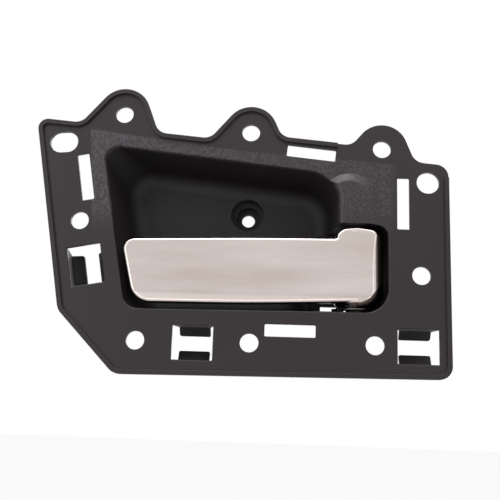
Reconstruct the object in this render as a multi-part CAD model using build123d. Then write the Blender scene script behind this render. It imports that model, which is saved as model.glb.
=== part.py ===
from build123d import *
from math import cos, radians, sin
import os

# An inner release handle of a car door: a moulded bezel and a plated lever.
# X runs along the door to the right, Z is up and Y goes into the door. The origin is on
# the axis of the fixing screw, where its head seats. "Depth" is counted from the
# flange's front face into the door, and all sizes are in millimetres.

# Bezel: flange and rim
seat_depth = 40.0
sheet_size = 400.0
flange_thickness = 2.0
rim_height = 1.4
rim_width = 2.1
top_left = (-101.4, 38.5)
left_low = (-83.6, -53.9)
bottom_left = (-56.1, -82.1)
bottom_right = (94.3, -80.1)
top_right = (94.3, 18.7)
corner_radii = {"top_left": 4.5, "left_low": 8.0, "bottom_left": 7.0, "right": 6.0}
shelf_slope = -5.5
shelf_points = [top_left, (-28.8, 30.7), (32.2, 29.55), top_right]

# Ears round the three upper stake holes
ear_radii = [12.5, 12.5, 12.0]
ear_left_slope = 50.0
ear_right_slopes = [69.0, 66.0, 68.0]
ear_foot_radius = 6.5

# Stake holes for the trim panel's plastic studs
stake_radius = 4.23
ear_holes = [(-59.3, 41.3), (1.85, 33.2), (63.6, 26.15)]
row_holes = [(-77.0, -11.6), (81.4, -33.7), (-47.4, -66.7), (4.2, -66.4), (60.5, -65.9)]

# Locating holes: a round one and one that is long in X
round_locator = (84.8, 10.2)
round_locator_radius = 5.2
long_locator = (-87.6, 26.85)
long_locator_length = 13.4
long_locator_width = 10.4
long_locator_turn = 4.0

# Slots: centre, length, width and the turn of the long side, anticlockwise from +X
slot_corner_radius = 0.6
opening_chamfer = 0.4
slot_width = 5.6
slots = [
    ((-75.9, 9.9), 22.9, slot_width, 100.4),
    ((30.6, 23.75), 22.9, slot_width, -6.0),
    ((73.45, 0.1), 24.6, slot_width, 90.0),
    ((22.45, -60.4), 23.0, slot_width, 0.0),
]

# Sockets for the trim's snap hooks: a window with two walls that end in leaning lips
window_long = 18.6
window_across = 15.5
window_corner_radius = 0.3
lip_long = 14.4
lip_gap = 6.9
lip_shift = 0.65
lip_corner_radius = 0.8
lip_start = 9.5
lip_end = 12.5
socket_wall = 1.6
sockets = [((-72.7, -32.6), -79.3), ((-21.5, -67.05), 0.0), ((79.8, -65.9), 0.0)]

# Pocket behind the lever: a bowl for the fingers and a bay for the hub
wall = 2.2
pocket_depth = 28.0
bowl_mouth = [(-69.1, 26.5, 6.0), (43.4, 13.6, 15.0), (43.4, -51.1, 6.0), (-53.4, -52.1, 7.0)]
bowl_floor = [(-61.5, 21.0, 14.0), (40.0, 9.0, 15.0), (40.0, -48.6, 12.0), (-47.0, -49.6, 12.0)]
bowl_fillet = 8.0
mouth_round = 0.8
bay_left = 31.0
bay_top = -10.5
bay_bottom = -51.1
bay_low_radius = 11.0
bay_high_radius = 5.3

# Raised lobe of the bezel over the hub
lobe_center = (48.7, 0.7)
lobe_radius = 13.3
lobe_height = 2.6
lobe_slope = 56.0
lobe_round = 3.0
lobe_depth = 3.0

# Fixing screw's recess, at the origin
screw_hole_radius = 3.35
screw_head_radius = 6.1
recess_radius = 8.2
recess_depth = 34.0
seat_thickness = 3.0
boss_wall = 2.0

# Pivot: a headed pin through two ears of the bezel, kept by a snap ring
pivot_x = 52.2
pivot_depth = 8.2
pin_radius = 2.0
pin_fit = 0.02
ear_block_height = 6.0
ear_block_radius = 6.0
pin_head_radius = 4.0
pin_head_height = 1.8
pin_tail = 3.2
clip_groove_radius = 1.5
clip_thickness = 0.8
clip_radius = 4.2
clip_ring = 1.3
clip_prong = 1.4
clip_play = 0.1
clip_mouth = 2.4

# Bushes in the hub, whose flanges run against round pads on the bay's walls
bush_radius = 3.2
bush_length = 9.0
bush_flange = 1.0
bush_flange_radius = 4.4
bush_running = 0.05
bush_fit = 0.01
thrust_play = 0.15

# Lever: a flat blade with a crowned face, and a hub that is round on its right
open_angle = 30.0
face_proud = 2.5
face_crown_radius = 190.0
face_edge_round = 1.3
back_edge_round = 2.4
blade_thickness = 9.0
blade_left_top = (-56.6, -19.9)
blade_left_bottom = (-49.2, -49.1)
blade_top_middle = (3.3, -18.1)
blade_top_right = -17.6
blade_bottom_middle = (3.3, -48.65)
blade_left_rounds = {"top": 4.9, "bottom": 9.5}
low_facet_height = 4.3
low_facet_slope = 12.0
low_facet_blend = 6.0
hub_left = 42.9
hub_left_round = 4.0
hub_foot_round = 1.2
hub_room_above = 1.8
hub_room_below = 2.9
hub_top = bay_top - hub_room_above
hub_bottom = bay_bottom + hub_room_below
hub_radius = 12.8
hub_core_radius = 10.0
hub_core_bevel = 1.6
hub_neck_radius = 6.5
shroud_room_below = 0.7
shroud_low_round = 10.0
shroud_high_round = 2.0
root_left = 30.5
root_front = 3.5
root_top = -14.5
root_low = -45.0
root_bevel = 4.5
root_length = 11.0
root_back = 10.5
bay_clearance = 1.5
bay_right = pivot_x + hub_radius + bay_clearance

# Lever's rear arm and the latch rod's clip in its end
arm_low = -30.0
arm_thickness = 5.0
arm_root_width = 9.0
arm_end_radius = 4.6
arm_reach = 24.0
arm_hole_radius = 2.6
rod_radius = 1.6
rod_clip_flange_radius = 4.4
rod_clip_flange = 1.2
rod_clip_length = 6.4
rod_clip_width = 6.8
rod_clip_height = 5.0
rod_clip_fit = 0.02

# Openings in the bay's floor: one for the arm and two windows beside a rib
arm_slot_room = 0.6
arm_slot_high = 1.0
arm_slot_low = 4.8
floor_windows = [(37.0, 44.8), (48.3, 57.0)]
floor_window_height = 4.4
floor_window_rise = 1.5

# Return spring in the hub's lower end, and the bezel's post for its long leg
spring_wire = 1.3
spring_radius = 6.2
spring_turns = 5
spring_pitch = 1.5
spring_gap = 0.4
spring_play = 0.1
spring_room = 0.8
spring_long_leg = 13.5
spring_short_leg = 3.2
spring_post_radius = 1.6
spring_post_reach = 12.0
spring_post_height = 3.8

# Rest stop: a post on the pocket's floor with a rubber bumper
stop_place = (24.5, -33.0)
stop_radius = 4.2
stop_front = 12.0
bumper_radius = 3.9
bumper_round = 1.0
bumper_stem_radius = 1.6
bumper_stem_length = 4.0
stop_play = 0.2

# Ribs between the pocket and the flange
rib_thickness = 1.6
rib_depth = 13.0
rib_height = 5.0
ribs_above = [-45.0, -22.0, 16.0]
ribs_below = [-34.0, -8.0, 38.0]

# Heights that follow from the values above
shroud_bottom = bay_bottom + shroud_room_below
spring_low = bay_bottom + spring_wire / 2 + spring_room
spring_high = spring_low + spring_turns * spring_pitch
ear_low = bay_bottom - ear_block_height
ear_high = bay_top + ear_block_height
clip_high = ear_low - clip_play
clip_low = clip_high - clip_thickness


def at_depth(depth):
    """Return the plane that lies depth behind the flange's front, seen from the front."""
    return Plane.XZ.offset(seat_depth - depth)


def slab(face, front, back):
    """Extrude a face that is drawn in X and Z from one depth to another."""
    return extrude(at_depth(front) * face, amount=-(back - front))


def rounded(corners):
    """Return a closed face through corners given as x, z and radius."""
    points = [(x, z) for x, z, _ in corners]
    radii = [radius for _, _, radius in corners]
    return make_face(FilletPolyline(*points, radius=radii, close=True))


def meet(point, angle, other_point, other_angle):
    """Return where two lines cross, each given by a point and an angle from +X."""
    ux, uz = cos(radians(angle)), sin(radians(angle))
    vx, vz = cos(radians(other_angle)), sin(radians(other_angle))
    dx, dz = other_point[0] - point[0], other_point[1] - point[1]
    along = (dx * vz - dz * vx) / (ux * vz - uz * vx)
    return point[0] + along * ux, point[1] + along * uz


def ear_corners(hole, radius, right_slope, shelf_before, shelf_after):
    """Return an ear's three corners: its feet on the two shelves and its round top."""
    turn_left, turn_right = radians(ear_left_slope), radians(right_slope)
    left = (hole[0] - radius * sin(turn_left), hole[1] + radius * cos(turn_left))
    right = (hole[0] + radius * sin(turn_right), hole[1] + radius * cos(turn_right))
    foot_before = meet(shelf_before, shelf_slope, left, ear_left_slope)
    top = meet(left, ear_left_slope, right, -right_slope)
    foot_after = meet(right, -right_slope, shelf_after, shelf_slope)
    return [(*foot_before, ear_foot_radius), (*top, radius), (*foot_after, ear_foot_radius)]


def flange_outline():
    """Return the flange's outline: five corners, with three ears along its top."""
    corners = [(*top_left, corner_radii["top_left"])]
    for ear in zip(ear_holes, ear_radii, ear_right_slopes, shelf_points, shelf_points[1:]):
        corners += ear_corners(*ear)
    corners.append((*top_right, corner_radii["right"]))
    corners.append((*bottom_right, corner_radii["right"]))
    corners.append((*bottom_left, corner_radii["bottom_left"]))
    corners.append((*left_low, corner_radii["left_low"]))
    return rounded(corners)


def rim(outline):
    """Return the raised rim, which leaves out the right ear and the corner beside it."""
    ring = slab(outline - offset(outline, -rim_width), -rim_height, flange_thickness / 2)
    slot_end = slots[1][0][0] + slots[1][1] / 2
    bare_left = slot_end + 0.8
    bare_low = top_right[1] - corner_radii["right"]
    bare = Pos(bare_left, bare_low) * Rectangle(sheet_size, sheet_size, align=(Align.MIN, Align.MIN))
    return ring - slab(bare, -rim_height - 1, 0)


def turned(face, center, angle):
    """Turn a face anticlockwise and put it at a point of the flange."""
    return Pos(*center) * Rot(0, 0, angle) * face


def opening(length, width, radius, center, angle):
    """Return the tool for a turned opening through the flange with a chamfered front edge."""
    mouth = turned(RectangleRounded(length, width, radius), center, angle)
    through = slab(mouth, -1, flange_thickness + 1)
    grown = at_depth(0) * offset(mouth, opening_chamfer)
    return through + extrude(grown, amount=-opening_chamfer, taper=45)


def flange_cuts():
    """Return the flange's holes and slots as tools."""
    faces = [Pos(*hole) * Circle(stake_radius) for hole in ear_holes + row_holes]
    faces.append(Pos(*round_locator) * Circle(round_locator_radius))
    long_hole = SlotOverall(long_locator_length, long_locator_width)
    faces.append(turned(long_hole, long_locator, long_locator_turn))
    tools = [slab(face, -1, flange_thickness + 1) for face in faces]
    for center, length, width, angle in slots:
        tools.append(opening(length, width, slot_corner_radius, center, angle))
    for center, angle in sockets:
        tools.append(opening(window_long, window_across, window_corner_radius, center, angle))
    return tools


def socket(center, angle):
    """Return a socket's two walls, which narrow as they go back and end in leaning lips."""
    half = window_across / 2
    lean = socket_wall * 1.2
    walls = Part()
    for side in (1, -1):
        edge = lip_gap / 2 + side * lip_shift
        section = [
            (flange_thickness / 2, half),
            (lip_start, half),
            (lip_end, edge),
            (lip_end + lean, edge),
            (lip_start + lean / 2, half + socket_wall),
            (flange_thickness / 2, half + socket_wall),
        ]
        points = [(depth - seat_depth, side * across) for depth, across in section]
        profile = Plane.YZ * make_face(Polyline(points, close=True))
        walls += extrude(profile, amount=window_long / 2, both=True)
    full, narrow = window_long / 2, lip_long / 2
    plan = [
        (-full, 0.0),
        (full, 0.0),
        (full, flange_thickness),
        (narrow, lip_start),
        (narrow, lip_end + 2 * socket_wall),
        (-narrow, lip_end + 2 * socket_wall),
        (-narrow, lip_start),
        (-full, flange_thickness),
    ]
    taper = make_face(Polyline([(along, depth - seat_depth) for along, depth in plan], close=True))
    trimmed = walls & extrude(taper, amount=window_across, both=True)
    corners = trimmed.edges().filter_by(Axis.Y).filter_by(
        lambda edge: abs(edge.center().Z) < lip_gap / 2 + lip_shift + 0.1)
    trimmed = fillet(corners, lip_corner_radius)
    return Pos(center[0], 0, center[1]) * Rot(0, -angle, 0) * trimmed


def bowl(grow, ahead=0.0):
    """Return the finger bowl as a solid, grown outwards by grow, that starts ahead of the flange."""
    depth = pocket_depth + grow
    share = ahead / pocket_depth
    start = [tuple(m - share * (f - m) for m, f in zip(*pair)) for pair in zip(bowl_mouth, bowl_floor)]
    mouth, floor = rounded(start), rounded(bowl_floor)
    if grow:
        mouth, floor = offset(mouth, grow), offset(floor, grow)
    body = loft([(at_depth(-ahead) * mouth).face(), (at_depth(depth) * floor).face()])
    floor_edges = body.edges().filter_by(lambda edge: abs(edge.center().Y - (depth - seat_depth)) < 0.01)
    return fillet(floor_edges, bowl_fillet + grow)


def bay_outline(grow):
    """Return the hub bay's outline, grown outwards by grow."""
    return rounded([
        (bay_left - grow, bay_bottom - grow, 0),
        (bay_right + grow, bay_bottom - grow, bay_low_radius + grow),
        (bay_right + grow, bay_top + grow, bay_high_radius + grow),
        (bay_left - grow, bay_top + grow, 0),
    ])


def flared(tool):
    """Return a cutting tool that also rounds the edge where it goes into the flange's front."""
    sheet = slab(Rectangle(sheet_size, sheet_size), -1, 0)
    tool = tool + sheet
    edges = tool.edges().filter_by(
        lambda edge: abs(edge.center().Y + seat_depth) < 0.01
        and max(abs(edge.center().X), abs(edge.center().Z)) < sheet_size / 4)
    return fillet(edges, mouth_round)


def lobe():
    """Return the raised lobe before and after it is rounded: a round top with sloping sides."""
    x, z = lobe_center
    straight = Pos(x, z) * Rectangle(2 * lobe_radius, 3 * lobe_radius, align=(Align.CENTER, Align.MAX))
    face = Pos(x, z) * Circle(lobe_radius) + straight
    body = extrude(at_depth(0) * face, amount=lobe_height, taper=lobe_slope) + slab(face, 0, lobe_depth)
    low = Pos(x, bay_top) * Rectangle(sheet_size, sheet_size, align=(Align.CENTER, Align.MAX))
    body -= slab(low, -lobe_height - 1, lobe_depth + 1)
    body -= bowl(0, lobe_height + 1)
    front = -lobe_height - seat_depth
    top_edges = body.edges().filter_by(
        lambda edge: abs(edge.center().Y - front) < 0.01 and edge.center().Z > bay_top + 0.1)
    return body, fillet(top_edges, lobe_round)


def upright(x, depth, radius, low, high):
    """Return a cylinder that stands along Z at a place and depth."""
    return Pos(x, depth - seat_depth, low) * Cylinder(
        radius, high - low, align=(Align.CENTER, Align.CENTER, Align.MIN))


def inward(x, z, radius, front, back):
    """Return a cylinder that runs into the door between two depths."""
    return slab(Pos(x, z) * Circle(radius), front, back)


def box(x_low, x_high, depth_low, depth_high, z_low, z_high):
    """Return a box between two corners, with Y given as depths."""
    return Pos(x_low, depth_low - seat_depth, z_low) * Box(
        x_high - x_low, depth_high - depth_low, z_high - z_low, align=(Align.MIN,) * 3)


def rib(x, z, side):
    """Return a three-cornered rib from the pocket's wall at z out along the flange's back."""
    corners = [(0, -1.0), (0, rib_height), (rib_depth, 1.0), (rib_depth, -4.0)]
    points = [(flange_thickness / 2 + depth - seat_depth, z + side * out) for depth, out in corners]
    face = make_face(Polyline(points, close=True))
    return Pos(x, 0, 0) * extrude(Plane.YZ * face, amount=rib_thickness / 2, both=True)


def mouth_z(x, upper):
    """Return the height of the bowl's upper or lower mouth edge at x."""
    left, right = (bowl_mouth[0], bowl_mouth[1]) if upper else (bowl_mouth[3], bowl_mouth[2])
    share = (x - left[0]) / (right[0] - left[0])
    return left[1] + share * (right[1] - left[1]) + (wall if upper else -wall)


def bezel():
    """Return the moulded bezel: flange, rim, pocket, screw boss, sockets and pivot ears."""
    outline = flange_outline()
    body = slab(outline, 0, flange_thickness)
    body += bowl(wall)
    body += slab(bay_outline(wall), flange_thickness / 2, pocket_depth + wall)
    for place in sockets:
        body += socket(*place)
    for x in ribs_above:
        body += rib(x, mouth_z(x, True), 1)
    for x in ribs_below:
        body += rib(x, mouth_z(x, False), -1)
    for low, high in [(bay_top, ear_high), (ear_low, bay_bottom)]:
        body += box(pivot_x - ear_block_radius, pivot_x + ear_block_radius,
                    flange_thickness / 2, pivot_depth, low, high)
        body += upright(pivot_x, pivot_depth, ear_block_radius, low, high)
    body += inward(0, 0, recess_radius + boss_wall, pocket_depth - 4, recess_depth + boss_wall)
    body += inward(0, 0, screw_head_radius + boss_wall, recess_depth, seat_depth + seat_thickness)
    body -= flared(bowl(0))
    body -= flared(slab(bay_outline(0), 0, pocket_depth))
    lobe_block, lobe_form = lobe()
    body = body - lobe_block + lobe_form + rim(outline)
    pad = bush_flange + thrust_play
    body += upright(pivot_x, pivot_depth, bush_flange_radius, bay_bottom - 1, hub_bottom - pad)
    body += upright(pivot_x, pivot_depth, bush_flange_radius, hub_top + pad, bay_top + 1)
    post_x = pivot_x - spring_radius - spring_wire / 2 - spring_play - spring_post_radius
    body += upright(post_x, pivot_depth + spring_post_reach, spring_post_radius,
                    bay_bottom - 1, bay_bottom + spring_post_height)
    body += inward(*stop_place, stop_radius, stop_front, pocket_depth + wall / 2)
    body -= inward(*stop_place, bumper_stem_radius + pin_fit, stop_front - 1, stop_front + bumper_stem_length)
    body -= inward(0, 0, recess_radius, pocket_depth - 6, recess_depth)
    body -= inward(0, 0, screw_head_radius, recess_depth - 1, seat_depth)
    body -= inward(0, 0, screw_hole_radius, seat_depth - 1, seat_depth + seat_thickness + 1)
    body -= upright(pivot_x, pivot_depth, pin_radius + pin_fit, ear_low - 1, ear_high + 1)
    swing = arm_reach * sin(radians(open_angle))
    reach = arm_end_radius + arm_slot_room
    lug_high = arm_low + arm_thickness + rod_clip_height
    floor_cut = (pocket_depth - 1, pocket_depth + wall + 1)
    body -= box(pivot_x - swing - reach, pivot_x + reach, *floor_cut,
                arm_low - arm_slot_low, lug_high + arm_slot_high)
    window_low = bay_bottom + floor_window_rise
    for x_low, x_high in floor_windows:
        body -= box(x_low, x_high, *floor_cut, window_low, window_low + floor_window_height)
    for cut in flange_cuts():
        body -= cut
    return body


def pivot_ring(outer, inner, low, high):
    """Return a sleeve round the pivot's axis."""
    sleeve = upright(pivot_x, pivot_depth, outer, low, high)
    return sleeve - upright(pivot_x, pivot_depth, inner, low - 1, high + 1)


def crown():
    """Return the form that gives the lever its front: a soft crown with a flat facet below it."""
    middle = (blade_left_top[1] + blade_left_bottom[1]) / 2
    center = face_crown_radius - face_proud - seat_depth
    body = Pos(0, center, middle) * Rot(0, 90, 0) * Cylinder(face_crown_radius, sheet_size)
    facet_low = blade_bottom_middle[1] + low_facet_height
    sagitta = face_crown_radius - (face_crown_radius ** 2 - (middle - facet_low) ** 2) ** 0.5
    block = Box(sheet_size, sheet_size, sheet_size, align=(Align.CENTER, Align.MAX, Align.CENTER))
    body -= Pos(0, sagitta - face_proud - seat_depth, facet_low) * Rot(low_facet_slope, 0, 0) * block
    crease = body.edges().filter_by(Axis.X).sort_by(lambda edge: abs(edge.center().Z - facet_low))[0]
    return fillet(crease, low_facet_blend)


def soften_front(body):
    """Round the outer edges of a body's front faces, apart from those at the pivot's middle."""
    fronts = [face for face in body.faces() if face.normal_at().Y < -0.9]
    edges = [edge for face in fronts for edge in face.edges()]
    outer = [edge for edge in edges if sum(edge.is_same(other) for other in edges) == 1]
    return fillet([edge for edge in outer if abs(edge.center().X - pivot_x) > 0.01], face_edge_round)


def blade():
    """Return the lever's blade, up to the middle of the pivot, with a soft front and back."""
    long_arc = 1000.0
    face_reach = pivot_depth + face_proud - hub_radius + shroud_low_round
    drop = (shroud_low_round ** 2 - face_reach ** 2) ** 0.5
    blade_bottom_right = shroud_bottom + shroud_low_round - drop
    outline = rounded([
        (*blade_left_top, blade_left_rounds["top"]),
        (*blade_top_middle, long_arc),
        (hub_left, blade_top_right, hub_foot_round),
        (hub_left, hub_top, hub_left_round),
        (pivot_x, hub_top, 0),
        (pivot_x, blade_bottom_right, 0),
        (*blade_bottom_middle, long_arc),
        (*blade_left_bottom, blade_left_rounds["bottom"]),
    ])
    body = slab(outline, -face_proud - 1, blade_thickness - face_proud) & crown()
    body = soften_front(body)
    back = body.faces().sort_by(Axis.Y)[-1]
    edges = back.edges().filter_by(lambda edge: edge.center().X < hub_left - 1)
    return fillet(edges, back_edge_round)


def shroud():
    """Return the hub's right half, a turned form that keeps clear of the bay's wall."""
    profile = rounded([
        (0, shroud_bottom, 0),
        (0, hub_top, 0),
        (hub_radius, hub_top, shroud_high_round),
        (hub_radius, shroud_bottom, shroud_low_round),
    ])
    half = revolve(Plane.XZ * profile, Axis.Z, 180)
    half = Pos(pivot_x, pivot_depth - seat_depth, 0) * Rot(0, 0, -90) * half
    return soften_front(half & crown())


def lever():
    """Return the lever: blade, root, hub with bores for the bushes, spring seat and arm."""
    body = blade() + shroud()
    core = upright(pivot_x, pivot_depth, hub_core_radius, hub_bottom, root_top)
    body += chamfer(core.edges().filter_by(GeomType.CIRCLE).sort_by(Axis.Z)[0], hub_core_bevel)
    body += upright(pivot_x, pivot_depth, hub_neck_radius, hub_bottom, hub_top)
    plan = [
        (root_left, root_front),
        (root_left, blade_thickness - face_proud - 1),
        (root_left + root_length, root_back),
        (pivot_x, pivot_depth + hub_core_radius - 2),
        (pivot_x, root_front),
    ]
    web = make_face(Polyline([(x, depth - seat_depth) for x, depth in plan], close=True))
    root = extrude(Plane.XY.offset(root_low) * web, amount=root_top - root_low)
    front_edges = root.edges().filter_by(
        lambda edge: abs(edge.center().Y + seat_depth - root_front) < 0.01
        and abs(edge.center().Z - root_top) < 0.01)
    body += chamfer(front_edges, root_bevel)
    arm = make_face(Polyline([
        (-arm_root_width / 2, hub_core_radius / 2),
        (arm_root_width / 2, hub_core_radius / 2),
        (arm_end_radius - 0.6, arm_reach),
        (0.6 - arm_end_radius, arm_reach),
    ], close=True))
    arm = arm + Pos(0, arm_reach) * Circle(arm_end_radius) - Pos(0, arm_reach) * Circle(arm_hole_radius)
    arm_plane = Pos(pivot_x, pivot_depth - seat_depth, arm_low)
    body += arm_plane * extrude(arm, amount=arm_thickness)
    body -= upright(pivot_x, pivot_depth, pin_radius + 0.5, hub_bottom - 5, hub_top + 5)
    for low, high in [(hub_bottom, hub_bottom + bush_length), (hub_top - bush_length, hub_top)]:
        body -= upright(pivot_x, pivot_depth, bush_radius + bush_fit, low, high)
    pocket_top = spring_high + spring_wire / 2 + spring_gap
    pocket_inner = spring_radius - spring_wire / 2 - spring_room
    pocket_outer = spring_radius + spring_wire / 2 + spring_room
    body -= pivot_ring(pocket_outer, pocket_inner, hub_bottom - 1, pocket_top)
    body -= upright(pivot_x, pivot_depth, pocket_outer, shroud_bottom - 1, hub_bottom)
    slot_reach = spring_radius + spring_short_leg + spring_gap
    body -= Pos(pivot_x - slot_reach, pivot_depth - seat_depth, shroud_bottom - 1) * Box(
        slot_reach - spring_radius, spring_wire + 2 * spring_play, pocket_top - shroud_bottom + 1,
        align=(Align.MIN, Align.CENTER, Align.MIN))
    return body


def bush(seat, direction):
    """Return a flanged bush whose flange lies on the hub's end and points away from it."""
    inner_end = seat - direction * bush_length
    flange_end = seat + direction * bush_flange
    body = upright(pivot_x, pivot_depth, bush_radius, min(seat, inner_end), max(seat, inner_end))
    body += upright(pivot_x, pivot_depth, bush_flange_radius, min(seat, flange_end), max(seat, flange_end))
    return body - upright(pivot_x, pivot_depth, pin_radius + bush_running, seat - 20, seat + 20)


def pivot_pin():
    """Return the headed pin, with a groove for its clip below the lower ear."""
    tail_end = ear_low - pin_tail
    shank = upright(pivot_x, pivot_depth, pin_radius, tail_end, ear_high)
    shank = chamfer(shank.edges().filter_by(GeomType.CIRCLE).sort_by(Axis.Z)[0], 0.5)
    head = upright(pivot_x, pivot_depth, pin_head_radius, ear_high, ear_high + pin_head_height)
    head = fillet(head.edges().filter_by(GeomType.CIRCLE).sort_by(Axis.Z)[-1], 0.6)
    groove = pivot_ring(pin_radius + 1, clip_groove_radius, clip_low - pin_fit, clip_high + pin_fit)
    return shank + head - groove


def pin_clip():
    """Return the snap ring on the pin's tail: a ring with three prongs and an open mouth."""
    inner = clip_groove_radius + pin_fit
    face = Circle(clip_radius) - Circle(clip_radius - clip_ring)
    for angle in (0, 90, 180):
        prong = Pos(inner, 0) * Rectangle(clip_radius - 1 - inner, clip_prong, align=(Align.MIN, Align.CENTER))
        face += Rot(0, 0, angle) * prong
    face -= Circle(inner)
    face -= Pos(0, -clip_radius) * Rectangle(clip_mouth, 2 * clip_radius)
    place = Pos(pivot_x, pivot_depth - seat_depth, clip_low)
    return place * extrude(face, amount=clip_thickness)


def return_spring():
    """Return the torsion spring: a coil, a long leg to the bezel's post and a short one."""
    height = spring_turns * spring_pitch
    coil = Helix(spring_pitch, height, spring_radius)
    wire = sweep(Plane(origin=coil @ 0, z_dir=coil % 0) * Circle(spring_wire / 2), path=coil)
    long_leg = Pos(spring_radius, 0, 0) * Rot(90, 0, 0) * Cylinder(
        spring_wire / 2, spring_long_leg, align=(Align.CENTER, Align.CENTER, Align.MIN))
    short_leg = Pos(spring_radius, 0, height) * Rot(0, 90, 0) * Cylinder(
        spring_wire / 2, spring_short_leg, align=(Align.CENTER, Align.CENTER, Align.MIN))
    joint = Sphere(spring_wire / 2)
    body = wire + long_leg + short_leg
    body += Pos(spring_radius, 0, 0) * joint + Pos(spring_radius, 0, height) * joint
    return Pos(pivot_x, pivot_depth - seat_depth, spring_low) * Rot(0, 0, 180) * body


def rest_bumper():
    """Return the rubber bumper on its post behind the blade, with a stem in the post."""
    front = blade_thickness - face_proud + stop_play
    body = inward(*stop_place, bumper_radius, front, stop_front)
    edge = body.edges().filter_by(GeomType.CIRCLE).sort_by(Axis.Y)[0]
    body = fillet(edge, bumper_round)
    stem_end = stop_front + bumper_stem_length - stop_play
    return body + inward(*stop_place, bumper_stem_radius, stop_front, stem_end)


def rod_clip():
    """Return the clip in the arm's end, with a hole along X for the latch rod."""
    arm_high = arm_low + arm_thickness
    x, depth = pivot_x, pivot_depth + arm_reach
    body = upright(x, depth, arm_hole_radius - rod_clip_fit, arm_low, arm_high)
    body += upright(x, depth, rod_clip_flange_radius, arm_low - rod_clip_flange, arm_low)
    half_length, half_width = rod_clip_length / 2, rod_clip_width / 2
    body += box(x - half_length, x + half_length, depth - half_width, depth + half_width,
                arm_high, arm_high + rod_clip_height)
    middle = Pos(x, depth - seat_depth, arm_high + rod_clip_height / 2)
    return body - middle * Rot(0, 90, 0) * Cylinder(rod_radius, 2 * rod_clip_length)


pieces = {
    "bezel": bezel(),
    "lever": lever(),
    "upper_bush": bush(hub_top, 1),
    "lower_bush": bush(hub_bottom, -1),
    "pivot_pin": pivot_pin(),
    "pin_clip": pin_clip(),
    "return_spring": return_spring(),
    "rest_bumper": rest_bumper(),
    "rod_clip": rod_clip(),
}
os.makedirs("parts", exist_ok=True)
for name, piece in pieces.items():
    export_step(piece, f"parts/{name}.step")
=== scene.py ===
from math import pi, radians
import bpy
from mathutils import Matrix, Vector
import numpy as np


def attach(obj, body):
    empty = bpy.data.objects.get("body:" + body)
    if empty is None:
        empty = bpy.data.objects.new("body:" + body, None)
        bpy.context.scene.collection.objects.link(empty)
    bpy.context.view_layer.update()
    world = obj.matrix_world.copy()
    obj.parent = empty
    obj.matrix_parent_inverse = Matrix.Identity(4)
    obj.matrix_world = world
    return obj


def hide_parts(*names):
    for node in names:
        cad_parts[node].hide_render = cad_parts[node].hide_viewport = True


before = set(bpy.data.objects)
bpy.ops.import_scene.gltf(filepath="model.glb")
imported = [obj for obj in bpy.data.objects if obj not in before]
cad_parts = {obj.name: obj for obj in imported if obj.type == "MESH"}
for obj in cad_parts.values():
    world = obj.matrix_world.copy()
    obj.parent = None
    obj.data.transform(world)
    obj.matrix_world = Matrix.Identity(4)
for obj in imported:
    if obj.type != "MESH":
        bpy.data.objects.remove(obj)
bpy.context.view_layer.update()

# The view
# The handle hangs free and is seen from 12 degrees below and a little from its right,
# turned 2 degrees clockwise in the picture. Its focal length is 780 times one of the
# picture's 500 pixels. Places are in millimetres until they are multiplied by MM.
MM = 0.001
FRAME_PX = 500
FOCAL_PX = 780
CAMERA_PLACE = Vector((19.5, -390.5, -98.9)) * MM
CAMERA_TARGET = Vector((3.2, -40.0, -23.8)) * MM
CAMERA_ROLL = radians(2.0)
SENSOR_MM = 36
NEAR_CLIP = 10 * MM

camera_data = bpy.data.cameras.new("camera")
camera_data.sensor_width = SENSOR_MM
camera_data.lens = camera_data.sensor_width * FOCAL_PX / FRAME_PX
camera_data.clip_start = NEAR_CLIP
camera = bpy.data.objects.new("camera", camera_data)
bpy.context.collection.objects.link(camera)
sight = (CAMERA_TARGET - CAMERA_PLACE).to_track_quat("-Z", "Y")
camera.matrix_world = (
    Matrix.Translation(CAMERA_PLACE) @ sight.to_matrix().to_4x4() @ Matrix.Rotation(CAMERA_ROLL, 4, "Z")
)
bpy.context.scene.camera = camera
bpy.context.scene.view_settings.view_transform = "Standard"

# Bezel
# One piece of black ABS, injection moulded and screwed to the door through the pocket's recess.
# Round the pocket, where the trim leaves it bare, the mould was spark-eroded, and that grain
# scatters more light than the satin rest. Its colour is painted by the grain's height: painted
# shade in the valleys and a painted highlight on the peaks, which paints the zone lighter.
SATIN_ABS = "#190f12"
# Painted shade in the grain's valleys and a painted highlight on its peaks.
GRAIN_VALLEY_SHADE = "#1c171a"
GRAIN_PEAK_HIGHLIGHT = "#413d41"
# The pocket's inside is painted darker than the flange: painted shade in the recess.
POCKET_PAINTED_SHADE = "#0e080a"
# A real grain of this kind is about 0.4 mm from peak to peak, one pixel here, so it is coarser.
GRAIN_MM = 1.1
GRAIN_DEPTH_MM = 0.09
GRAIN_CONTRAST = (0.36, 0.64)
CLOUD_MM = 30
MOULD_EDGE_MM = 0.25
ABS_IOR = 1.46
POCKET_ROUGHNESS = 0.60
SATIN_ROUGHNESS = 0.34
GRAIN_ADDS_ROUGHNESS = 0.10
CLOUD_ADDS_ROUGHNESS = 0.06
SATIN_RELIEF = 0.06
GRAIN_TOPS = [
    {"point": (-39.9, 28.9), "turn": 7.5, "soft": 0.5},
    {"point": (17.7, 22.6), "turn": 4.0, "soft": 0.5},
]
GRAIN_SIDES = [
    {"point": (-74.0, 20.0), "turn": -95.0, "soft": 0.5},
    {"point": (69.0, 0.0), "turn": 90.0, "soft": 3.0},
    {"point": (0.0, -10.0), "turn": 180.0, "soft": 8.0},
]
# The grain zone fades to a share of 0.6 towards the right: painted light, lighter on the left, where the
# light falls.
GRAIN_FADE_X = -20.0
GRAIN_FADE_SOFT = 50.0
GRAIN_RIGHT_SHARE = 0.6
FRONT_END_MM = -38.2
FRONT_END_SOFT = 0.8


def linear(hex_code):
    """Turn an sRGB hex colour into linear RGBA: a straight line near black, then a power of 2.4."""
    channels = [int(hex_code[i:i + 2], 16) / 255 for i in (1, 3, 5)]
    return [c / 12.92 if c <= 0.04045 else ((c + 0.055) / 1.055) ** 2.4 for c in channels] + [1.0]


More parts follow.
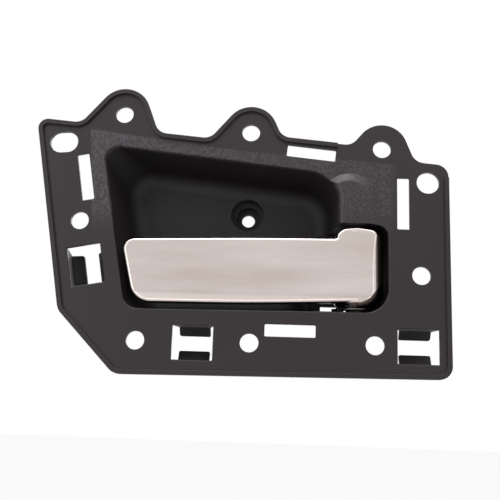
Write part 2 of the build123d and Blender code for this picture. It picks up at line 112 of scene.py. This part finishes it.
def add(tree, kind, inputs=(), **settings):
    """Add a node, set its properties, and fill its sockets with values or with other sockets."""
    node = tree.nodes.new(kind)
    for name, value in settings.items():
        setattr(node, name, value)
    for socket, value in dict(inputs).items():
        if isinstance(value, bpy.types.NodeSocket):
            tree.links.new(value, node.inputs[socket])
        else:
            node.inputs[socket].default_value = value
    return node


def new_material(name):
    """Start a material with an empty node tree and give back both."""
    material = bpy.data.materials.new(name)
    material.use_nodes = True
    material.node_tree.nodes.clear()
    return material, material.node_tree


def coat(names, material):
    """Give CAD nodes a material in place of their plain one."""
    for name in names:
        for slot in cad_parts[name].material_slots:
            slot.material = material


def one_side(tree, place, normal, start_mm, soft_mm):
    """Return a mask that is 1 behind a plane: the distance along its normal, less a start, made steep."""
    away = add(tree, "ShaderNodeVectorMath", {0: place, 1: normal}, operation="DOT_PRODUCT")
    return add(tree, "ShaderNodeMapRange", {
        "Value": away.outputs["Value"], "From Min": (start_mm - soft_mm) * MM,
        "From Max": (start_mm + soft_mm) * MM, "To Min": 1.0, "To Max": 0.0,
    }, interpolation_type="SMOOTHSTEP").outputs[0]


def slanted(tree, place, edge):
    """Return a mask that is 1 on the lower side of a line in X and Z, given by a point and a turn from +Z."""
    normal = Matrix.Rotation(radians(edge["turn"]), 3, "Y") @ Vector((0, 0, 1))
    start_mm = normal.x * edge["point"][0] + normal.z * edge["point"][1]
    return one_side(tree, place, normal, start_mm, edge["soft"])


abs_plastic, tree = new_material("black_abs_moulded")
place = add(tree, "ShaderNodeTexCoord").outputs["Object"]
front = one_side(tree, place, (0, 1, 0), FRONT_END_MM, FRONT_END_SOFT)
zone = None
joins = [(edge, "MAXIMUM") for edge in GRAIN_TOPS]
joins += [(edge, "MULTIPLY") for edge in GRAIN_SIDES]
for edge, join in joins:
    inside = slanted(tree, place, edge)
    if zone is not None:
        inside = add(tree, "ShaderNodeMath", {0: zone, 1: inside}, operation=join).outputs[0]
    zone = inside
zone = add(tree, "ShaderNodeMath", {0: zone, 1: front}, operation="MULTIPLY").outputs[0]
# Painted light: the grain zone is lighter on the left and fades towards the right.
left = one_side(tree, place, (1, 0, 0), GRAIN_FADE_X, GRAIN_FADE_SOFT)
share = add(tree, "ShaderNodeMapRange", {"Value": left, "To Min": GRAIN_RIGHT_SHARE, "To Max": 1.0})
zone = add(tree, "ShaderNodeMath", {0: zone, 1: share.outputs[0]}, operation="MULTIPLY").outputs[0]
grain = add(tree, "ShaderNodeTexNoise", {
    "Vector": place, "Scale": 1 / (GRAIN_MM * MM), "Detail": 2.0, "Roughness": 0.55})
height = add(tree, "ShaderNodeMapRange", {
    "Value": grain.outputs["Fac"], "From Min": GRAIN_CONTRAST[0], "From Max": GRAIN_CONTRAST[1]})
cloud = add(tree, "ShaderNodeTexNoise", {"Vector": place, "Scale": 1 / (CLOUD_MM * MM), "Detail": 2.0})
# Deeper than FRONT_END_MM, in the pocket, the colour is painted shade.
smooth = add(tree, "ShaderNodeMix", {
    0: front, 6: linear(POCKET_PAINTED_SHADE), 7: linear(SATIN_ABS)}, data_type="RGBA")
# The grain's painted shade and painted highlight, by its height.
grain_shade_and_highlight = add(tree, "ShaderNodeMix", {
    0: height.outputs[0], 6: linear(GRAIN_VALLEY_SHADE), 7: linear(GRAIN_PEAK_HIGHLIGHT)}, data_type="RGBA")
colour = add(tree, "ShaderNodeMix", {
    0: zone, 6: smooth.outputs[2], 7: grain_shade_and_highlight.outputs[2]}, data_type="RGBA")
matte = add(tree, "ShaderNodeMapRange", {
    "Value": front, "To Min": POCKET_ROUGHNESS, "To Max": SATIN_ROUGHNESS})
roughness = add(tree, "ShaderNodeMath", {
    0: zone, 1: GRAIN_ADDS_ROUGHNESS, 2: matte.outputs[0]}, operation="MULTIPLY_ADD")
patchy = add(tree, "ShaderNodeMath", {
    0: cloud.outputs["Fac"], 1: CLOUD_ADDS_ROUGHNESS, 2: roughness.outputs[0]}, operation="MULTIPLY_ADD")
relief = add(tree, "ShaderNodeMapRange", {"Value": zone, "To Min": SATIN_RELIEF, "To Max": 1.0})
edges = add(tree, "ShaderNodeBevel", {"Radius": MOULD_EDGE_MM * MM}, samples=6)
bump = add(tree, "ShaderNodeBump", {
    "Strength": relief.outputs[0], "Distance": GRAIN_DEPTH_MM * MM,
    "Height": grain.outputs["Fac"], "Normal": edges.outputs[0]})
surface = add(tree, "ShaderNodeBsdfPrincipled", {
    "Base Color": colour.outputs[2], "Roughness": patchy.outputs[0], "IOR": ABS_IOR,
    "Normal": bump.outputs[0]})
add(tree, "ShaderNodeOutputMaterial", {"Surface": surface.outputs[0]})
coat(["bezel"], abs_plastic)

# Lever
# A die-cast zinc lever, polished and plated with bright chrome over nickel, that turns on a
# steel pin. The plating mirrors the room, and its warm tone comes from the nickel under it.
# Along the underside of the blade and hub the colour is painted dark: painted shade, with the
# painted reflection of the dark pocket below.
CHROME = "#d3cac5"
CHROME_DEEP = "#c5b8b3"
UNDERSIDE_PAINTED_SHADE = "#4c423e"
PLATED_EDGE_MM = 0.6
# The painted shade follows the dark band under the real blade. The thin plating is a guess from
# the dark band under the real blade. At the hub it also darkens about 2 mm of the solid that the
# real hub doesn't have: the shape there is still too low.
UNDERSIDE_SHADE_EDGES = [
    {"point": (3.3, -48.9), "turn": 177.5, "soft": 0.25},
    {"point": (55.8, -45.9), "turn": 153.0, "soft": 0.25},
    {"point": (59.4, -43.0), "turn": 128.0, "soft": 0.25},
]
UNDERSIDE_SHADE_FRONT_MM = 42.3
UNDERSIDE_SHADE_FRONT_SOFT = 0.2
STREAK_MM = 16
STREAK_STRETCH = (0.25, 1.0, 1.6)
STREAK_CONTRAST = (0.33, 0.67)
GLOSS = (0.07, 0.15)

chrome, tree = new_material("chrome_plated_zinc")
place = add(tree, "ShaderNodeTexCoord").outputs["Object"]
along = add(tree, "ShaderNodeMapping", {"Vector": place, "Scale": STREAK_STRETCH})
haze = add(tree, "ShaderNodeTexNoise", {
    "Vector": along.outputs[0], "Scale": 1 / (STREAK_MM * MM), "Detail": 3.0})
streak = add(tree, "ShaderNodeMapRange", {
    "Value": haze.outputs["Fac"], "From Min": STREAK_CONTRAST[0], "From Max": STREAK_CONTRAST[1]})
gloss = add(tree, "ShaderNodeMapRange", {
    "Value": haze.outputs["Fac"], "To Min": GLOSS[0], "To Max": GLOSS[1]})
tint = add(tree, "ShaderNodeMix", {
    0: streak.outputs[0], 6: linear(CHROME), 7: linear(CHROME_DEEP)}, data_type="RGBA")
edges = add(tree, "ShaderNodeBevel", {"Radius": PLATED_EDGE_MM * MM}, samples=8)
# Below these lines and behind the face, the underside is painted shade.
upper = None
for edge in UNDERSIDE_SHADE_EDGES:
    above = slanted(tree, place, edge)
    if upper is not None:
        above = add(tree, "ShaderNodeMath", {0: upper, 1: above}, operation="MULTIPLY").outputs[0]
    upper = above
below = add(tree, "ShaderNodeMath", {0: 1.0, 1: upper}, operation="SUBTRACT")
behind = one_side(tree, place, (0, -1, 0), UNDERSIDE_SHADE_FRONT_MM, UNDERSIDE_SHADE_FRONT_SOFT)
shaded_underside = add(tree, "ShaderNodeMath", {0: below.outputs[0], 1: behind}, operation="MULTIPLY")
plating_and_shade = add(tree, "ShaderNodeMix", {
    0: shaded_underside.outputs[0], 6: tint.outputs[2], 7: linear(UNDERSIDE_PAINTED_SHADE)}, data_type="RGBA")
surface = add(tree, "ShaderNodeBsdfPrincipled", {
    "Base Color": plating_and_shade.outputs[2], "Metallic": 1.0, "Roughness": gloss.outputs[0],
    "Normal": edges.outputs[0]})
add(tree, "ShaderNodeOutputMaterial", {"Surface": surface.outputs[0]})

# The real face is one smooth crown, and the real hub's top is a low arch. The solid's core
# stands 0.4 mm out of its crown near the hub's top, and its top is straight. This copy of its
# mesh has those points moved, by 2.2 mm at most, and stands for it.
CROWN_RADIUS = 190.0
CROWN_MIDDLE_Z = -34.5
CROWN_FRONT_Y = -42.5
PIVOT_X = 52.2
CORE_HALF = 5.0
CORE_SPAN = (-18.5, -14.3)
PROUD_MM = 0.005
ARCH_FOOT_Z = -20.0
ARCH_TOP_Z = -13.2
ARCH_X = [42.9, 45.2, 46.5, 48.3, 50.5, 52.8, 55.0, 57.3, 58.7, 60.0, 65.0]
ARCH_DROP = [0.95, 0.75, 0.3, -0.3, -0.55, -0.5, -0.3, 0.1, 0.5, 1.0, 2.2]
ARCH_LIP_Y = -40.3
ARCH_MARGIN = 0.2
HALF_STEP = 0.5


def merged(mesh):
    """Return points in mm, triangles between them after equal points are made one, and corner normals."""
    points = np.empty(3 * len(mesh.vertices))
    mesh.vertices.foreach_get("co", points)
    corners = np.empty(len(mesh.loops), dtype=np.int64)
    mesh.loops.foreach_get("vertex_index", corners)
    normals = np.empty(3 * len(mesh.loops))
    mesh.corner_normals.foreach_get("vector", normals)
    points = np.round(points.reshape(-1, 3) / MM, 4)
    points, same = np.unique(points, axis=0, return_inverse=True)
    triangles = same.ravel()[corners].reshape(-1, 3)
    whole = (triangles != np.roll(triangles, 1, axis=1)).all(axis=1)
    return points, triangles[whole], normals.reshape(-1, 3, 3)[whole]


def smooth_face(points, triangles, normals):
    """Put points in front of the crown on it: y is that of a circle in y and z, round an axis along X."""
    x, y, z = points.T
    run = z - CROWN_MIDDLE_Z
    depth = np.sqrt(CROWN_RADIUS ** 2 - run ** 2)
    crown = CROWN_FRONT_Y + CROWN_RADIUS - depth
    on_core = (abs(x - PIVOT_X) < CORE_HALF) & (z > CORE_SPAN[0]) & (z < CORE_SPAN[1])
    proud = on_core & (y < crown - PROUD_MM)
    upward = np.stack([0 * z, -depth, run], axis=1) / CROWN_RADIUS
    points[:, 1] = np.where(proud, crown, y)
    normals[proud[triangles]] = upward[triangles][proud[triangles]]


def arch(points, triangles, normals):
    """Bend the hub's top: z falls by a drop that depends on x, times a share of 3 s squared less 2 s cubed.

    s runs from 0 at the arch's foot to 1 at its top. Only the front lip is ever raised.
    """
    x, y, z = points.T

    def fall(at):
        """Return the drop at given x, in mm."""
        amount = np.interp(at, ARCH_X, ARCH_DROP)
        return np.where(y < ARCH_LIP_Y, amount, np.maximum(amount, 0))

    share = np.clip((z - ARCH_FOOT_Z) / (ARCH_TOP_Z - ARCH_FOOT_Z), 0, 1)
    steep = np.where((share > 0) & (share < 1), 6 * share * (1 - share) / (ARCH_TOP_Z - ARCH_FOOT_Z), 0)
    share = share * share * (3 - 2 * share)
    inside = x > ARCH_X[0] - ARCH_MARGIN
    drop = np.where(inside, fall(x), 0)
    slope = np.where(inside, fall(x + HALF_STEP) - fall(x - HALF_STEP), 0)
    tilt, squeeze = (slope * share)[triangles], (1 - drop * steep)[triangles]
    points[:, 2] = z - drop * share
    normals[..., 0] += tilt / squeeze * normals[..., 2]
    normals[..., 2] /= squeeze


points, triangles, normals = merged(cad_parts["lever"].data)
smooth_face(points, triangles, normals)
arch(points, triangles, normals)
normals /= np.linalg.norm(normals, axis=2, keepdims=True)
mesh = bpy.data.meshes.new("lever_plated")
mesh.from_pydata((points * MM).tolist(), [], triangles.tolist())
mesh.polygons.foreach_set("use_smooth", [True] * len(triangles))
mesh.normals_split_custom_set(normals.reshape(-1, 3).tolist())
mesh.materials.append(chrome)
lever = bpy.data.objects.new("lever_plated", mesh)
bpy.context.collection.objects.link(lever)
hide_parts("lever")
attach(lever, "lever")

# Pin, snap ring and return spring
# The headed pin is drawn steel, held by the ring in its groove. The ring and the wound coil
# are oiled spring steel, darker than it. Real drawing lines are finer than the 0.3 mm here.
DRAWN_STEEL = "#b9b8b6"
SPRING_STEEL = "#6a6867"
DRAW_LINE_MM = 0.3
DRAW_STRETCH = (1.0, 1.0, 0.04)
STEEL_ROUGHNESS_SPREAD = 0.08


def steel(name, colour, roughness):
    """Return a steel that was drawn along Z: noise stretched along it makes fine lines."""
    material, tree = new_material(name)
    place = add(tree, "ShaderNodeTexCoord").outputs["Object"]
    long = add(tree, "ShaderNodeMapping", {"Vector": place, "Scale": DRAW_STRETCH})
    lines = add(tree, "ShaderNodeTexNoise", {
        "Vector": long.outputs[0], "Scale": 1 / (DRAW_LINE_MM * MM), "Detail": 2.0})
    matte = add(tree, "ShaderNodeMapRange", {
        "Value": lines.outputs["Fac"],
        "To Min": roughness - STEEL_ROUGHNESS_SPREAD, "To Max": roughness + STEEL_ROUGHNESS_SPREAD})
    surface = add(tree, "ShaderNodeBsdfPrincipled", {
        "Base Color": linear(colour), "Metallic": 1.0, "Roughness": matte.outputs[0]})
    add(tree, "ShaderNodeOutputMaterial", {"Surface": surface.outputs[0]})
    return material


coat(["pivot_pin"], steel("drawn_steel", DRAWN_STEEL, roughness=0.28))
coat(["pin_clip", "return_spring"], steel("oiled_spring_steel", SPRING_STEEL, roughness=0.35))

# Bushes, rod clip and bumper
# The bushes are natural acetal, pressed into the hub, and the rod clip is green acetal, snapped
# into the rear arm. Both are moulded smooth. The bumper behind the blade is dull black rubber.
NATURAL_ACETAL = "#e3e0d6"
GREEN_ACETAL = "#1f7a46"
BLACK_RUBBER = "#161616"
MOULDED_ROUGHNESS_SPREAD = 0.05
MOULDED_RELIEF = 0.4


def moulded(name, colour, roughness, speck_mm, relief_mm):
    """Return a moulded plastic or rubber: noise of one size bends the surface a little."""
    material, tree = new_material(name)
    place = add(tree, "ShaderNodeTexCoord").outputs["Object"]
    speck = add(tree, "ShaderNodeTexNoise", {"Vector": place, "Scale": 1 / (speck_mm * MM), "Detail": 3.0})
    matte = add(tree, "ShaderNodeMapRange", {
        "Value": speck.outputs["Fac"],
        "To Min": roughness - MOULDED_ROUGHNESS_SPREAD, "To Max": roughness + MOULDED_ROUGHNESS_SPREAD})
    bump = add(tree, "ShaderNodeBump", {
        "Strength": MOULDED_RELIEF, "Distance": relief_mm * MM, "Height": speck.outputs["Fac"]})
    surface = add(tree, "ShaderNodeBsdfPrincipled", {
        "Base Color": linear(colour), "Roughness": matte.outputs[0], "Normal": bump.outputs[0]})
    add(tree, "ShaderNodeOutputMaterial", {"Surface": surface.outputs[0]})
    return material


coat(["upper_bush", "lower_bush"], moulded(
    "natural_acetal", NATURAL_ACETAL, roughness=0.35, speck_mm=0.8, relief_mm=0.01))
coat(["rod_clip"], moulded(
    "green_acetal", GREEN_ACETAL, roughness=0.35, speck_mm=0.8, relief_mm=0.01))
coat(["rest_bumper"], moulded(
    "black_rubber", BLACK_RUBBER, roughness=0.75, speck_mm=0.4, relief_mm=0.03))

# Floor, room and lamps
# A plain white room, in metres. Soft lamps hang above, at both sides, behind and low in front.
# Camera, mirror and clear rays see white at a strength of 1, and a small share of the floor's
# own paint, which keeps the handle's shadow.
FLOOR_Z = -0.30
FLOOR_SIDE = 12.0
FLOOR_PAINT = "#f4f4f4"
FLOOR_GLOW = 0.93
ROOM_FILL = 0.3
WHITE = (1, 1, 1, 1)


def seen_directly(tree):
    """Return 1 for rays from the camera, a mirror or clear glass, and 0 for all others."""
    path = add(tree, "ShaderNodeLightPath")
    either = add(tree, "ShaderNodeMath", {
        0: path.outputs["Is Camera Ray"], 1: path.outputs["Is Glossy Ray"]}, operation="MAXIMUM")
    return add(tree, "ShaderNodeMath", {
        0: either.outputs[0], 1: path.outputs["Is Transmission Ray"]}, operation="MAXIMUM").outputs[0]


bpy.ops.mesh.primitive_plane_add(size=FLOOR_SIDE, location=(0, 0, FLOOR_Z))
floor = bpy.context.object
floor.name = "floor"
paint, tree = new_material("white_floor_paint")
lit = add(tree, "ShaderNodeBsdfDiffuse", {"Color": linear(FLOOR_PAINT)})
glow = add(tree, "ShaderNodeEmission", {"Color": WHITE, "Strength": 1.0})
share = add(tree, "ShaderNodeMath", {0: seen_directly(tree), 1: FLOOR_GLOW}, operation="MULTIPLY")
mix = add(tree, "ShaderNodeMixShader", {0: share.outputs[0], 1: lit.outputs[0], 2: glow.outputs[0]})
add(tree, "ShaderNodeOutputMaterial", {"Surface": mix.outputs[0]})
floor.data.materials.append(paint)

room = bpy.data.worlds.new("white_room")
room.use_nodes = True
room.node_tree.nodes.clear()
tree = room.node_tree
seen = add(tree, "ShaderNodeBackground", {"Color": WHITE, "Strength": 1.0})
fill = add(tree, "ShaderNodeBackground", {"Color": WHITE, "Strength": ROOM_FILL})
mix = add(tree, "ShaderNodeMixShader", {0: seen_directly(tree), 1: fill.outputs[0], 2: seen.outputs[0]})
add(tree, "ShaderNodeOutputWorld", {"Surface": mix.outputs[0]})
bpy.context.scene.world = room


def softbox(name, place, width, height, strength):
    """Add a square lamp aimed at the handle, whose face has the given strength: power over pi and area."""
    data = bpy.data.lights.new(name, "AREA")
    data.shape = "RECTANGLE"
    data.size, data.size_y = width, height
    data.energy = strength * pi * width * height
    lamp = bpy.data.objects.new(name, data)
    lamp.location = place
    lamp.rotation_euler = (CAMERA_TARGET - Vector(place)).to_track_quat("-Z", "Y").to_euler()
    bpy.context.collection.objects.link(lamp)


softbox("top_lamp", (-0.10, -0.40, 0.80), width=1.6, height=1.0, strength=1.5)
softbox("strip_lamp", (-0.10, -0.05, 0.80), width=1.0, height=0.4, strength=4.0)
softbox("left_lamp", (-0.75, -0.90, 0.15), width=0.5, height=0.8, strength=1.6)
softbox("right_lamp", (0.95, -0.70, 0.05), width=0.8, height=0.8, strength=0.5)
softbox("back_lamp", (0.50, 1.10, 0.45), width=1.0, height=0.8, strength=2.5)
softbox("low_lamp", (0.05, -0.55, -0.26), width=0.9, height=0.10, strength=1.6)
